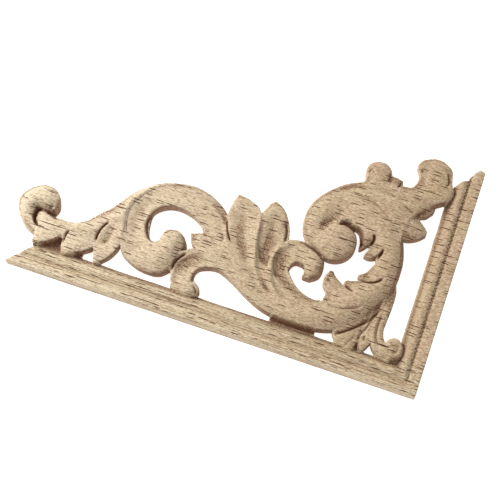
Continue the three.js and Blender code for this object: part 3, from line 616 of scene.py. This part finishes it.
# Each: points along the line, depth (negative stands proud) and half width.
carved_lines = [
    # Curl: the deep crescent inside it, the edge of the disc over the stem and the small end of the spiral.
    ([
        (-212.4, 32.3), (-214, 31.5), (-214.7, 29.3), (-214.3, 26.7), (-212.9, 24.6), (-210.4, 22.4),
    ], 3, 0.8),
    ([(-209.3, 32), (-207.2, 31.7), (-204.7, 30.8), (-202.3, 29.3)], 2.6, 1.3),
    ([(-213.1, 35.4), (-210.8, 33.5), (-208.6, 33.3), (-207.5, 34.9), (-208.1, 36.5)], 0.8, 0.6),
    # Leaf lobes on the stem: a crease where each one laps over the next, and the scooped third lobe.
    ([(-195.4, 18.4), (-195.3, 20.9), (-194.8, 23.4), (-193.7, 25.3)], 1.6, 0.6),
    ([(-179.5, 24.5), (-179.7, 28), (-179, 31.6), (-177.6, 35), (-176.1, 36.5)], 1.8, 0.6),
    ([(-173.6, 35.4), (-174.1, 31.3), (-174.8, 27.8), (-175.5, 23.2)], 1.2, 2.2),
    # C scroll: a thin rim along its outer side with the hollow band inside it.
    ([
        (-167.6, 33.5), (-169.6, 37.9), (-170.9, 43.3), (-170.3, 49.5), (-167.8, 55.5),
        (-164.1, 60.6), (-159.3, 64.7),
    ], -0.3, 0.8),
    ([
        (-165.6, 33.4), (-167.9, 38.5), (-168.9, 43.6), (-168.4, 49.3), (-166.1, 54.6),
        (-162.8, 59.6), (-158.7, 63.5), (-153.1, 67.2), (-146.5, 68.8), (-139.2, 68.2),
    ], 0.4, 0.5),
    ([
        (-161.9, 29.3), (-164, 36.9), (-164.4, 44.4), (-162.5, 51.8), (-158.3, 57.6), (-152.5, 61.3),
    ], 0.2, 3.2),
    ([
        (-149.4, 54.9), (-153.4, 52.9), (-156.6, 48.8), (-157.9, 44.1), (-157.2, 40.2), (-155.5, 37),
        (-152.8, 34.6), (-149.8, 33.5),
    ], 2.2, 0.9),
    ([(-130.2, 64.7), (-126.7, 63.2), (-123.1, 60.6), (-120.3, 57.8), (-117.7, 53.7)], 0.9, 1.1),
    ([(-137.7, 22.1), (-137.3, 27.4), (-135.4, 31.6), (-133.1, 34)], 1.8, 0.7),
    ([(-128.7, 47.7), (-126.8, 46.2)], 1.2, 0.6),
    # Hook: a raised rim round a hollow band, and the small curled foot.
    ([
        (-132.7, 12.8), (-134.9, 16.9), (-136.8, 22.8), (-136.7, 26.8), (-134.7, 30.8),
        (-131.5, 34.3), (-126.4, 36.8), (-121.8, 37.2),
    ], -0.3, 0.7),
    ([
        (-131.4, 14.2), (-133.4, 17.6), (-134.9, 22.4), (-134.6, 26.1), (-132.9, 29.5), (-130, 32.8),
        (-125.7, 34.9), (-121.1, 35.1),
    ], 0.5, 1),
    ([(-119.8, 29.2), (-123.2, 28), (-125, 25.3), (-125.5, 21.8), (-124.7, 19.2)], 2, 0.9),
    ([(-124.3, 18.4), (-122, 16.5), (-121.8, 13.6), (-123, 12.7)], 1.2, 0.5),
    # Central leaf: its left edge over the scroll, the pale rib between its halves, the scoop of each half.
    ([(-119.7, 59.7), (-118.7, 55.9), (-117.1, 52.2), (-115.2, 49.1), (-113.6, 47.2)], 1.5, 0.6),
    ([
        (-103.1, 64.3), (-102.7, 61.1), (-102.6, 56.9), (-101.9, 52.1), (-100.5, 46.8),
        (-98.2, 40.9), (-94.9, 35.5), (-90.4, 29.7),
    ], -0.5, 0.8),
    ([
        (-101.3, 63.2), (-100.7, 59.9), (-100.5, 55.8), (-99.7, 51.2), (-98.2, 45.9), (-96.1, 40.9),
        (-93.1, 36.2), (-89.4, 31.7),
    ], 0.3, 0.9),
    ([(-90.4, 67.7), (-88.3, 63), (-87.6, 59), (-87.5, 55.6)], 1.6, 0.8),
    ([(-113.9, 66.9), (-112.6, 59.7), (-110.3, 52.1), (-106.3, 45.1), (-101, 38.7)], 0.8, 2.6),
    ([(-96.9, 67.7), (-96, 60.5), (-95.8, 53), (-95, 45), (-91.5, 37.9)], 0.9, 2.2),
    # Second hook: its pale rim runs down into the stem, with a hollow band inside.
    ([
        (-80.6, 58.5), (-85.1, 55.7), (-88.7, 52.3), (-90.6, 47.8), (-90.5, 42.3), (-88.9, 36.7),
        (-86.2, 32.3), (-82.8, 28.2), (-78, 24.2),
    ], -0.4, 0.8),
    ([(-76.4, 47.2), (-78.7, 45.9), (-80.1, 43.6), (-80.2, 41.1)], 2, 0.8),
    ([(-87.1, 55.8), (-89.9, 53.2), (-91.6, 49.2), (-92.2, 45.1), (-91.6, 40.8)], 0.5, 0.5),
    ([
        (-80.7, 56.5), (-84.4, 53.8), (-87.2, 50.9), (-88.6, 47.2), (-88.3, 42.3), (-86.6, 37.2),
        (-83.1, 31.9),
    ], 0.25, 1.1),
    # Leaf ring: the long crease round its inside, and the cut under each tooth.
    ([
        (-56.6, 31.7), (-54.7, 30.8), (-51.6, 30.5), (-47.8, 31.1), (-44.3, 32.5), (-40.9, 34.4),
        (-38.4, 37.1),
    ], 0.9, 0.6),
    ([(-50.8, 44.3), (-49.7, 43.6), (-47.9, 42.6), (-45, 41.4)], 1.2, 0.6),
    ([(-50.2, 45.2), (-47.2, 43), (-43.2, 41.9)], -0.4, 0.7),
    ([(-45, 50.1), (-41.5, 49.3), (-37.7, 49.8), (-34.9, 51.6), (-33.2, 54.2)], 2, 0.6),
    ([(-42.7, 62.1), (-39.9, 63.1), (-38.6, 65.4), (-37.6, 68.3)], 1.5, 0.6),
    ([(-60.5, 46.2), (-59, 43.5), (-56.1, 41.4), (-52, 40.3)], 0.7, 0.8),
    ([(-45.1, 75.3), (-44.2, 73.4), (-44.6, 71.1), (-45.6, 68.9)], 2.4, 0.7),
    ([(-37.9, 69), (-38.8, 66.4), (-41.2, 63.2)], 1.5, 0.6),
    # Ball: the deep cut over it, and the soft hollow where the scroll runs into it.
    ([(-63.8, 75.2), (-61.6, 76.2), (-58.7, 75.7), (-55.7, 74.9), (-53.3, 73.3)], 3.2, 0.8),
    ([(-63.2, 84.6), (-66.7, 81.5), (-69, 76.2), (-70.3, 70.6), (-70, 65.6)], 1.2, 3.4),
    ([(-55.3, 76.3), (-52.7, 75), (-50.9, 72.3), (-49.9, 69.6), (-49.6, 66.8)], 3, 1.1),
    ([(-77.1, 59.4), (-73.3, 58.2), (-69.3, 56.4), (-66, 54.6)], 1.6, 0.7),
    # Upper body: two long flow lines.
    ([(-69.3, 94), (-64.2, 97.4), (-58, 99.4), (-50.1, 100.3), (-41.6, 99.3), (-34.7, 96.9)], 0.7, 0.8),
    ([
        (-59.2, 92.2), (-53.2, 92.8), (-48.5, 91), (-43.6, 88.3), (-39.3, 85.2), (-33.4, 81.4),
    ], 0.7, 0.8),
    # Middle leaf: its hollows and ribs run on down the stem and fade out, and so does the ring's hollow.
    ([(-99.9, 50.3), (-97.6, 43.8), (-94.7, 37.6), (-89.8, 30.7), (-82, 24.6)], 1.4, 1.9),
    ([(-108.1, 46.7), (-103, 39.8), (-97.7, 34.1), (-91.5, 28.7), (-84.2, 24.2)], 0.9, 2.4),
    ([(-101.3, 46.9), (-98.6, 39.9), (-95.2, 33.9), (-90.3, 28.4), (-84.3, 24.5)], -0.5, 0.8),
    ([(-92, 44.4), (-91, 39), (-88.5, 34.1), (-84.5, 29.8), (-78.5, 26.2)], -0.5, 0.8),
    ([(-87.3, 38.8), (-85.3, 33.8), (-81.5, 29.7), (-75.1, 25.9)], 1.1, 1.7),
    # Bud, bump and top leaf: small scoops and the rims beside them.
    ([(-58.5, 108.9), (-56.9, 110.3), (-54.8, 108.7)], 0.8, 0.7),
    ([(-47.4, 111.5), (-46.4, 108.8), (-47, 106.8)], 1.5, 0.6),
    ([(-41.3, 104.5), (-40.5, 107.3), (-40.7, 109.4)], 0.8, 0.5),
    ([(-32.4, 118.2), (-30.9, 120.2), (-27.8, 119)], 0.9, 0.8),
    ([(-18.6, 121.9), (-17, 118.7), (-16.7, 115.4), (-18.1, 113.6)], 1, 0.6),
    ([(-34.8, 95.4), (-31.7, 94.3), (-28.6, 93.3)], 1, 0.7),
    # Fans and corner volute: the step down from the ring, the veins, and the brown hollow of the volute.
    ([
        (-47.9, 18.4), (-44.8, 20.2), (-41.6, 22.7), (-36.6, 27.7), (-33.2, 31.8), (-30.6, 36.3),
        (-28.6, 40.5),
    ], 1.6, 0.8),
    ([(-32.5, 31.7), (-33.8, 26.7), (-35.7, 22.1), (-36.1, 18.5)], 1.2, 0.6),
    ([(-41.9, 13.5), (-39.7, 17.1), (-37.4, 21.2)], 0.6, 0.6),
    ([(-33.5, 22.5), (-33.1, 19.5)], 1.2, 0.9),
    ([(-28, 36.6), (-28.5, 30.1), (-28.1, 24.6), (-26.5, 21), (-23.6, 18.2)], 1.2, 0.9),
    ([
        (-22.6, 21.5), (-21.2, 19.1), (-18.2, 17.6), (-15.6, 18.8), (-15.5, 21.6), (-17.8, 23.1),
    ], 0.8, 0.6),
]

# No line is cut through to the low grounds. A line that is deeper than deep_from is painted dark inside, as
# shade.
lowest_cut = 2.2
deep_from = 1.9


def groove(points):
    """Distance from a carved line, and its share of depth, which runs out at the line's two ends."""
    line = spline(points, 8)
    field = np.full(grid_x.shape, 99.0)
    depth_share = np.zeros(grid_x.shape)
    box = near(line[:, 0].min(), line[:, 0].max(), line[:, 1].min(), line[:, 1].max(), 6.0)
    x, y = grid_x[box], grid_y[box]
    best, along = field[box], depth_share[box]
    for k, ((ax, ay), (bx, by)) in enumerate(zip(line, line[1:])):
        ex, ey = bx - ax, by - ay
        share = np.clip(((x - ax) * ex + (y - ay) * ey) / max(ex * ex + ey * ey, 1e-9), 0, 1)
        distance = np.hypot(x - ax - share * ex, y - ay - share * ey)
        position = (k + share) / (len(line) - 1)
        along = np.where(distance < best, position, along)
        best = np.minimum(best, distance)
    field[box] = best
    depth_share[box] = np.clip(np.minimum(0.35 + 6 * along, 5 * (1 - along)), 0, 1)
    return field, depth_share


deep_cut = np.zeros(grid_x.shape)
for points, depth, half_width in carved_lines:
    distance, depth_share = groove(points)
    cut = depth_share * np.exp(-((distance / half_width) ** 2))
    surface = np.where(surface > 2.6, np.maximum(surface - depth * cut, lowest_cut), surface)
    if depth > deep_from:
        deep_cut = np.maximum(deep_cut, cut)

# Painted shade: narrow creases and wide hollows are painted darker than the wood round them, and the walls
# that face right and down are painted dark. Each mark is a share at every point of the face, for the
# finish.

# A crease or a hollow is wood that lies below the mean height within its reach; one that is as deep
# as its depth here is fully shaded. The low grounds and the short rail's channel are painted shaded as a
# whole.
crease_reach = 1.3
crease_depth = 0.9
hollow_reach = 5.0
hollow_depth = 2.5
depth_in = np.maximum(-edge, 0)
weight = np.where(rail_edge < 0, 0.5, 1.0) * np.clip((depth_in - 0.3) / 1.2, 0, 1)
crease = weight * np.clip((smoothed(surface, crease_reach) - surface) / crease_depth, -1, 1)
hollow = weight * np.clip((smoothed(surface, hollow_reach) - surface) / hollow_depth, -1, 1)
crease = np.maximum(crease, 0.75 * deep_cut)
crease = np.where((rail_edge > 0) & (surface < 3.4), 0.75, crease)
crease = np.where((rail_edge < 0) & (surface < 3.6), 0.35, crease)

# The short rail's channel is torn in a wavering chain, because its cutter ran across the grain.
luck = np.random.default_rng(4)
waver = 0.0
for row in np.nonzero(lines_y > rail_width)[0]:
    waver += 1.2 * (0.5 + luck.random())
    chain_x = -band_width - 0.5 + 0.55 * math.sin(waver)
    torn = (np.abs(lines_x - chain_x) < 0.4) & (luck.random() < 0.85)
    crease[row, torn] = 0.95

# Painted shade on walls that face right and down, away from the light; the rails' outer sides get little,
# but for the short rail's.
fall_y, fall_x = np.gradient(np.where(depth_in > 0.8, -surface, edge), lines_y, lines_x)
facing = (0.85 * fall_x - 0.5 * fall_y) / np.maximum(np.hypot(fall_x, fall_y), 1e-6)
less_shaded = (rail_edge < 0.1) & ~(on_short_rail & (grid_x > -0.6))
wall_shade = np.clip(0.25 + facing, 0, 1) * np.where(less_shaded, 0.15, 1.0)

# The arris: every edge of the outline is rubbed round and painted paler as a highlight, a little more on
# the scrolls.
rail_arris = 0.5
scroll_arris = 0.45
rim = np.clip(1 - depth_in / 1.4, 0, 1)
surface = surface - rolled(depth_in, np.where(rail_edge < 0.2, rail_arris, scroll_arris))
surface = np.maximum(surface, 0.6)

# The carved piece itself: the face is cut off along the outline, its sides go straight down as the
# fret saw left them, and the back is one flat plane.
edge = np.where(np.abs(edge) < 0.03, -0.03, edge)
inside = edge < 0
index = np.full(grid_x.shape, -1)
rows_in, columns_in = np.nonzero(inside)
index[rows_in, columns_in] = np.arange(len(rows_in))
vertices = np.stack([lines_x[columns_in], lines_y[rows_in], surface[inside]], axis=1).tolist()
marks = np.stack([crease[inside], hollow[inside], rim[inside], wall_shade[inside]], axis=1).tolist()

corners_in = inside[:-1, :-1].astype(int) + inside[:-1, 1:] + inside[1:, 1:] + inside[1:, :-1]
j, i = np.nonzero(corners_in == 4)
faces = np.stack([index[j, i], index[j, i + 1], index[j + 1, i + 1], index[j + 1, i]], axis=1).tolist()

arris_drop = 0.35
crossings = {}


def crossing(a, b):
    """The vertex where the outline crosses the grid line from point a to point b."""
    key = (a, b) if a < b else (b, a)
    if key not in crossings:
        share = edge[a] / (edge[a] - edge[b])
        inner = a if inside[a] else b
        x = lines_x[a[1]] + share * (lines_x[b[1]] - lines_x[a[1]])
        y = lines_y[a[0]] + share * (lines_y[b[0]] - lines_y[a[0]])
        crossings[key] = len(vertices)
        vertices.append([x, y, max(surface[inner] - arris_drop, 0.5)])
        marks.append([crease[inner], hollow[inner], 1.0, wall_shade[inner]])
    return crossings[key]


follows = {}
j, i = np.nonzero((corners_in > 0) & (corners_in < 4))
for row, column in zip(j.tolist(), i.tolist()):
    square = [(row, column), (row, column + 1), (row + 1, column + 1), (row + 1, column)]
    patch = []
    leaving = []
    for a, b in zip(square, square[1:] + square[:1]):
        if inside[a]:
            patch.append(int(index[a]))
        if inside[a] != inside[b]:
            patch.append(crossing(a, b))
            leaving.append((patch[-1], bool(inside[a])))
    if len(leaving) == 2:
        faces.append(patch)
        start, end = (leaving[0][0], leaving[1][0]) if leaving[0][1] else (leaving[1][0], leaving[0][0])
        follows[start] = end
    else:
        for k, (vertex, leaves) in enumerate(leaving):
            if leaves:
                follows[vertex] = leaving[k - 1][0]
                corner_point = patch[patch.index(vertex) - 1]
                faces.append([leaving[k - 1][0], corner_point, vertex])

# Each closed run of crossings is one loop of the outline: the outside, or an opening.
loops = []
waiting = set(follows)
while waiting:
    start = waiting.pop()
    loop = [start]
    while follows[loop[-1]] != start:
        loop.append(follows[loop[-1]])
        waiting.discard(loop[-1])
    loops.append(loop)

back_loops = []
for loop in loops:
    ring = np.array([vertices[vertex][:2] for vertex in loop])
    for _ in range(2):
        ring = 0.5 * ring + 0.25 * (np.roll(ring, 1, axis=0) + np.roll(ring, -1, axis=0))
    for vertex, (x, y) in zip(loop, ring.tolist()):
        vertices[vertex][:2] = x, y
    back = []
    for vertex in loop:
        x, y, z = vertices[vertex]
        back.append(len(vertices))
        vertices.append([x, y, 0.0])
        marks.append([0.0, 0.0, 0.0, marks[vertex][3]])
    for k in range(len(loop)):
        n = (k + 1) % len(loop)
        faces.append([loop[n], loop[k], back[k], back[n]])
    back_loops.append(back)

back_points = [vertex for back in back_loops for vertex in back]
for a, b, c in tessellate_polygon([[Vector(vertices[vertex]) for vertex in back] for back in back_loops]):
    p, q, r = (vertices[back_points[k]] for k in (a, b, c))
    faces_up = (q[0] - p[0]) * (r[1] - p[1]) > (q[1] - p[1]) * (r[0] - p[0])
    order = (a, c, b) if faces_up else (a, b, c)
    faces.append([back_points[k] for k in order])

mesh = bpy.data.meshes.new("carved onlay")
mesh.from_pydata([corner + Vector(v) * MM for v in vertices], [], faces)
mesh.shade_smooth()
mesh.set_sharp_from_angle(angle=math.radians(50))
for column, name in enumerate(("crease", "hollow", "rim", "wall_shade")):
    attribute = mesh.attributes.new(name, "FLOAT", "POINT")
    attribute.data.foreach_set("value", [mark[column] for mark in marks])
onlay = bpy.data.objects.new("carved_onlay", mesh)
bpy.context.scene.collection.objects.link(onlay)
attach(onlay, "root")
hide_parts("corner_onlay")

# The wood's finish: raw and sanded, paler and yellower to the left, browner to the right, the paleness
# being painted light that falls off away from the key light, with growth streaks along the board, short
# dark open pores, and the tool's stipple left in the hollows.
hardwood = bpy.data.materials.new("pale carved hardwood")
hardwood.use_nodes = True
nodes, links = hardwood.node_tree.nodes, hardwood.node_tree.links
shader = nodes["Principled BSDF"]
onlay.data.materials.append(hardwood)


def add(kind, settings=None, **sockets):
    """A node with its settings, and with values or links on its sockets, by name or as _number."""
    new = nodes.new("ShaderNode" + kind)
    for name, value in (settings or {}).items():
        setattr(new, name, value)
    for name, value in sockets.items():
        by_number = name[0] == "_" and name[1:].isdigit()
        socket = new.inputs[int(name[1:]) if by_number else name.replace("_", " ")]
        if isinstance(value, bpy.types.NodeSocket):
            links.new(value, socket)
        else:
            socket.default_value = value
    return new


def ramp(value, low_at, high_at):
    """0 at low_at, 1 at high_at, smooth between."""
    settings = {"interpolation_type": "SMOOTHSTEP"}
    return add("MapRange", settings, Value=value, From_Min=low_at, From_Max=high_at).outputs["Result"]


def times(a, b):
    return add("Math", {"operation": "MULTIPLY"}, _0=a, _1=b).outputs[0]


def times_plus(a, b, c):
    return add("Math", {"operation": "MULTIPLY_ADD"}, _0=a, _1=b, _2=c).outputs[0]


def minus(a, b):
    return add("Math", {"operation": "SUBTRACT"}, _0=a, _1=b).outputs[0]


def mix(share, a, b):
    """Colour a turned towards colour b."""
    return add("Mix", {"data_type": "RGBA"}, _0=share, _6=a, _7=b).outputs[2]


def mark(name):
    """A mark stored on the mesh's points, as the finish reads it; the crease, rim and wall marks hold
    painted shade and highlight.
    """
    return add("Attribute", {"attribute_name": name}).outputs["Fac"]


in_board = add("TexCoord").outputs["Object"]
pore_tilt = math.radians(-19)


def grain(along, across, detail=2.0, rough=0.5):
    """Noise stretched along the board: its size along and across, in millimetres."""
    scale = (1000 / along, 1000 / across, 1000 / across)
    stretched = add("Mapping", Vector=in_board, Scale=scale).outputs[0]
    return add("TexNoise", Vector=stretched, Scale=1.0, Detail=detail, Roughness=rough).outputs[0]


def dashes(along, across, length, width):
    """Open pores, below 0 in a dash. Each cell of a pattern, along by across mm, holds one or none."""
    tilted = add("Mapping", Vector=in_board, Rotation=(pore_tilt, 0, 0)).outputs[0]
    stretched = add("Mapping", Vector=tilted, Scale=(1000 / along, 1000 / across, 1)).outputs[0]
    cells = add("TexVoronoi", {"voronoi_dimensions": "2D"}, Vector=stretched, Scale=1.0)
    middle = cells.outputs["Position"]
    offset = add("VectorMath", {"operation": "SUBTRACT"}, _0=stretched, _1=middle).outputs[0]
    shape = (2 * along / length, 2 * across / width, 0)
    offset = add("VectorMath", {"operation": "MULTIPLY"}, _0=offset, _1=shape).outputs[0]
    reach = add("VectorMath", {"operation": "LENGTH"}, _0=offset).outputs["Value"]
    pick = add("SeparateColor", _0=cells.outputs["Color"]).outputs[0]
    return minus(reach, times_plus(pick, 2.4, -1.05))


bands = grain(160, 14)
streaks = grain(34, 1.3, 3.0)
patches = grain(40, 9)
veins = grain(50, 0.55, 2.0)
speckle = grain(1.6, 0.45, 1.0)
fuzz = grain(0.9, 0.7, 3.0, 0.7)
from_pore = dashes(6, 1.9, 4.6, 0.34)
pores = ramp(from_pore, 0.2, -0.1)
pore_halo = ramp(from_pore, 0.8, 0.0)
long_pores = ramp(dashes(30, 7, 14, 0.36), 0.2, -0.1)
short_pores = ramp(dashes(2.4, 1.2, 1.7, 0.34), 0.3, -0.1)

crease_shade = ramp(mark("crease"), 0.12, 0.9)
ridge_highlight = ramp(mark("crease"), -0.1, -0.6)
hollows = ramp(mark("hollow"), 0.03, 0.36)
stipple = times(hollows, ramp(fuzz, 0.44, 0.56))
falloff_and_tone_toward_right = ramp(add("SeparateXYZ", _0=in_board).outputs["X"], -0.12, 0.09)
rail_limit = low.y + rail_width * MM
on_long_rail = ramp(add("SeparateXYZ", _0=in_board).outputs["Y"], rail_limit + 0.0005, rail_limit - 0.0005)
vein_share = times_plus(on_long_rail, 0.6, 0.3)
facing_up = add("SeparateXYZ", _0=add("TexCoord").outputs["Normal"]).outputs["Z"]
level = ramp(facing_up, 0.3, 0.75)
# Painted shade: steep walls that face right and down are painted dark, as if in shade.
wall_shade_mask = times(ramp(facing_up, 0.82, 0.45), mark("wall_shade"))

lit_pale_left = (0.72, 0.605, 0.43, 1)
shaded_brown_right = (0.40, 0.275, 0.16, 1)
growth_band = (0.59, 0.45, 0.285, 1)
green_patch = (0.50, 0.42, 0.25, 1)
pink_patch = (0.56, 0.39, 0.28, 1)
long_rail_yellow = (0.50, 0.40, 0.235, 1)
late_wood = (0.36, 0.25, 0.15, 1)
dark_vein = (0.20, 0.115, 0.06, 1)
pale_vein = (0.74, 0.65, 0.49, 1)
painted_edge_highlight = (0.66, 0.58, 0.46, 1)
painted_ridge_highlight = (0.70, 0.60, 0.46, 1)
dark_speck = (0.24, 0.14, 0.075, 1)
pale_speck = (0.80, 0.70, 0.53, 1)
hollow_shade_brown = (0.40, 0.26, 0.155, 1)
tool_mark = (0.17, 0.09, 0.045, 1)
wall_shade_brown = (0.27, 0.13, 0.07, 1)
deep_wall_shade_brown = (0.10, 0.04, 0.02, 1)
crease_shade_brown = (0.14, 0.055, 0.026, 1)
pore_stain = (0.42, 0.21, 0.09, 1)
short_pore_brown = (0.17, 0.065, 0.025, 1)
long_pore_brown = (0.055, 0.014, 0.004, 1)
pore_brown = (0.07, 0.02, 0.006, 1)

# The colours are laid over each other from the plain wood up: where, how strongly, and the colour.
# Painted light: the wood is painted paler towards the key light on the left, over its own yellow to brown
# tone.
colour = mix(falloff_and_tone_toward_right, lit_pale_left, shaded_brown_right)
for where, strength, tint in (
    (ramp(bands, 0.35, 0.65), 0.3, growth_band),
    (ramp(patches, 0.45, 0.62), 0.25, green_patch),
    (ramp(patches, 0.5, 0.36), 0.25, pink_patch),
    (on_long_rail, 0.4, long_rail_yellow),
    (ramp(streaks, 0.45, 0.7), 0.45, late_wood),
    (ramp(veins, 0.53, 0.66), vein_share, dark_vein),
    (ramp(veins, 0.48, 0.36), times(vein_share, 0.6), pale_vein),
    # Painted highlight on the outline's edges and on the raised ridges.
    (mark("rim"), 0.3, painted_edge_highlight),
    (ridge_highlight, 0.35, painted_ridge_highlight),
    (ramp(speckle, 0.52, 0.64), 0.45, dark_speck),
    (ramp(speckle, 0.48, 0.36), 0.3, pale_speck),
    # Painted shade: the hollows are painted darker brown; the stipple after it is the tool's texture.
    (hollows, 0.3, hollow_shade_brown),
    (stipple, 0.9, tool_mark),
    # Painted shade on the walls that face right and down.
    (wall_shade_mask, 0.75, wall_shade_brown),
    (times(wall_shade_mask, ramp(fuzz, 0.45, 0.6)), 0.8, deep_wall_shade_brown),
    # Painted shade in the creases, the deep cuts and the low grounds.
    (crease_shade, 0.9, crease_shade_brown),
    (times(pore_halo, level), 0.25, pore_stain),
    (times(short_pores, level), 0.5, short_pore_brown),
    (long_pores, level, long_pore_brown),
    (pores, level, pore_brown),
):
    colour = mix(times(where, strength), colour, tint)
links.new(colour, shader.inputs["Base Color"])
shader.inputs["Roughness"].default_value = 0.72
shader.inputs["Specular IOR Level"].default_value = 0.25

# The wood feels rough: raised fibres everywhere, coarser tool marks in the hollows, and sunken pores.
tooled = times_plus(hollows, 3.0, 1.5)
relief = minus(times(fuzz, tooled), times(pores, 2.0))
bump = add("Bump", Strength=0.6, Distance=0.0003, Height=relief)
links.new(bump.outputs[0], shader.inputs["Normal"])

# The floor under the onlay: a sheet of white paper, plain and pale like the photograph's background.
# It isn't part of the onlay, and it lies just clear of its back.
bpy.ops.mesh.primitive_plane_add(size=6.0, location=(0, 0, low.z - 0.0002))
floor = bpy.context.active_object
floor.name = "floor"
paper = bpy.data.materials.new("white paper")
paper.use_nodes = True
paper_shader = paper.node_tree.nodes["Principled BSDF"]
paper_shader.inputs["Base Color"].default_value = (0.9, 0.9, 0.9, 1)
paper_shader.inputs["Roughness"].default_value = 0.9
paper_shader.inputs["Emission Color"].default_value = (1, 1, 1, 1)
paper_shader.inputs["Emission Strength"].default_value = 0.7
floor.data.materials.append(paper)

# The studio light: one large soft light low on the photograph's left, which draws the relief, a weak
# one opposite it, and a bright white room.
room = bpy.data.worlds.new("studio")
bpy.context.scene.world = room
room.use_nodes = True
room.node_tree.nodes["Background"].inputs["Color"].default_value = (1, 1, 1, 1)
room.node_tree.nodes["Background"].inputs["Strength"].default_value = 0.6
bpy.context.scene.view_settings.view_transform = "Standard"


def soft_light(name, position, size, power):
    """A square light that points at the onlay."""
    lamp = bpy.data.lights.new(name, "AREA")
    lamp.size = size
    lamp.energy = power
    light = bpy.data.objects.new(name, lamp)
    light.location = position
    light.rotation_euler = (-Vector(position)).to_track_quat("-Z", "Y").to_euler()
    bpy.context.scene.collection.objects.link(light)


soft_light("key light", (-0.80, 0.20, 0.64), 0.4, 11.5)
soft_light("fill light", (0.6, -0.6, 1.0), 1.2, 2)

# The camera stands where the photograph was taken from: about twenty degrees off straight above, and
# turned a little. Its place is in millimetres from the outer corner, as all else is.
camera_place = Vector((-26.368, -214.921, 728.613))
look = Vector((-0.09928, 0.33844, -0.93574))
up = Vector((-0.31097, 0.88273, 0.35226))
camera_data = bpy.data.cameras.new("camera")
camera_data.lens = 108
camera_data.sensor_width = 36
camera = bpy.data.objects.new("camera", camera_data)
aim = Matrix((look.cross(up), up, -look)).transposed().to_4x4()
camera.matrix_world = Matrix.Translation(corner + camera_place * MM) @ aim
bpy.context.scene.collection.objects.link(camera)
bpy.context.scene.camera = camera
